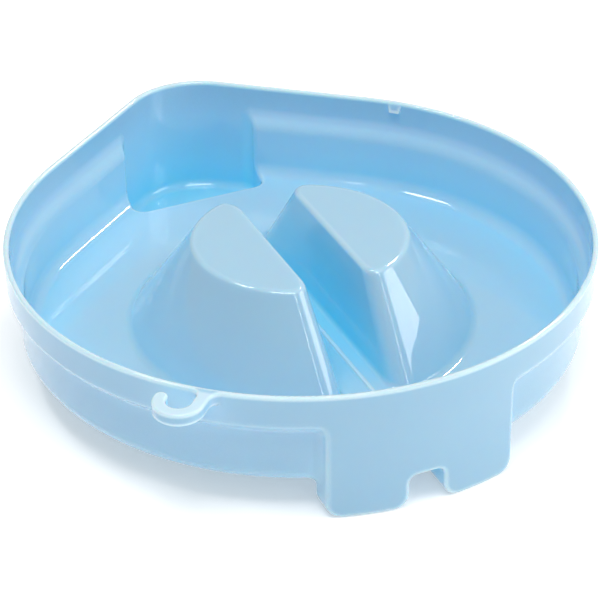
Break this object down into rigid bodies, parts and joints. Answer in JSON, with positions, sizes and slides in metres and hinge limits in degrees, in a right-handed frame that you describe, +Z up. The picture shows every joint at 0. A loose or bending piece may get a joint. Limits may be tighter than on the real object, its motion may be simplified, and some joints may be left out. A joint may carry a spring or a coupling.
{
  "type": "moulded bucket lid",
  "caption": "Teardrop-plan plastic lid resting open side up like a dish: stepped wall, split hollow grip, hollow feet, small hook on the rim.",
  "frame": {"origin": "centre of the bounding box in plan, on the plane of the soles of the feet", "axes": "+Y towards the single corner, +Z up out of the open side, +X to the right seen from the two front feet"},
  "size_m": [0.3, 0.329, 0.069],
  "materials": {
    "moulding": "gloss, slightly translucent light blue"
  },
  "bodies": {
    "root": {"rim_band": "moulding", "step_left": "moulding", "step_right": "moulding", "wall_left": "moulding", "wall_right": "moulding", "turn_left": "moulding", "turn_right": "moulding", "floor_pan": "moulding", "grip_left": "moulding", "grip_right": "moulding", "slot_rib": "moulding", "corner_foot": "moulding", "front_foot_left": "moulding", "front_foot_right": "moulding", "foot_bridge": "moulding", "rim_hook": "moulding", "snap_tab_front": "moulding", "snap_tab_back": "moulding"}
  },
  "joints": []
}
